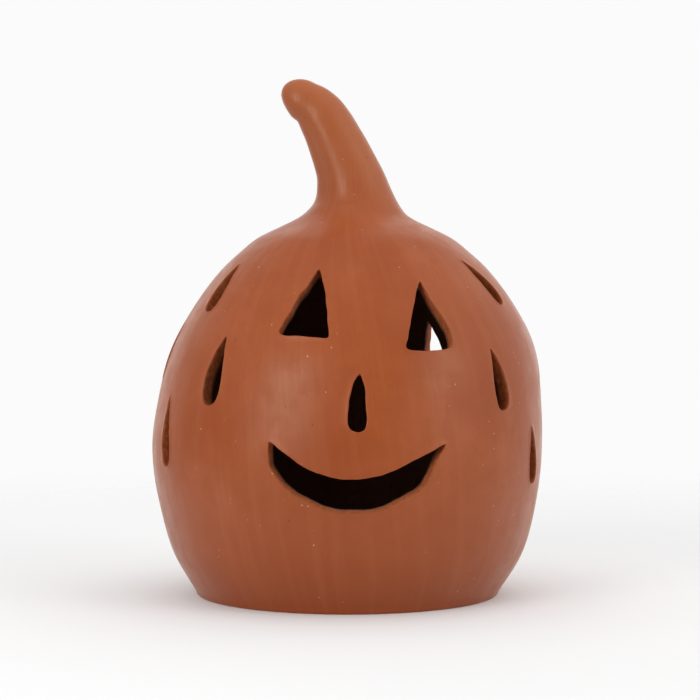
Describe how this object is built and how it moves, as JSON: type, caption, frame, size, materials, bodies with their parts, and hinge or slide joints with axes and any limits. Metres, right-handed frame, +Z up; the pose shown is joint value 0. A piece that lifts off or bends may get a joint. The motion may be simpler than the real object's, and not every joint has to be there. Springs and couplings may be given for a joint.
{
  "type": "pumpkin luminary",
  "caption": "Hollow clay jack-o'-lantern luminary with a bent stem, a cut-out face and drop-shaped light holes, standing over a tea light in an aluminium cup.",
  "frame": {"origin": "centre of the foot, on the table that the pumpkin stands on", "axes": "+Z up, the face looks along -Y, +X to the right of a viewer who faces it"},
  "size_m": [0.167, 0.167, 0.2197],
  "materials": {
    "clay": "burnished, unglazed terracotta",
    "cup_aluminium": "bright drawn foil",
    "wax": "white paraffin wax, satin",
    "holder_tin": "pressed tin plate",
    "wick": "waxed cotton cord"
  },
  "bodies": {
    "tea_light": {"candle_cup": "cup_aluminium", "candle_wax": "wax", "wick_holder": "holder_tin", "candle_wick": "wick"},
    "pumpkin": {"pumpkin_shell": "clay", "stem": "clay", "stem_collar": "clay"}
  },
  "joints": [
    {"name": "pumpkin_lift", "type": "slide", "parent": "tea_light", "child": "pumpkin", "axis": [0, 0, 1], "range_m": [0, 0.08]}
  ]
}
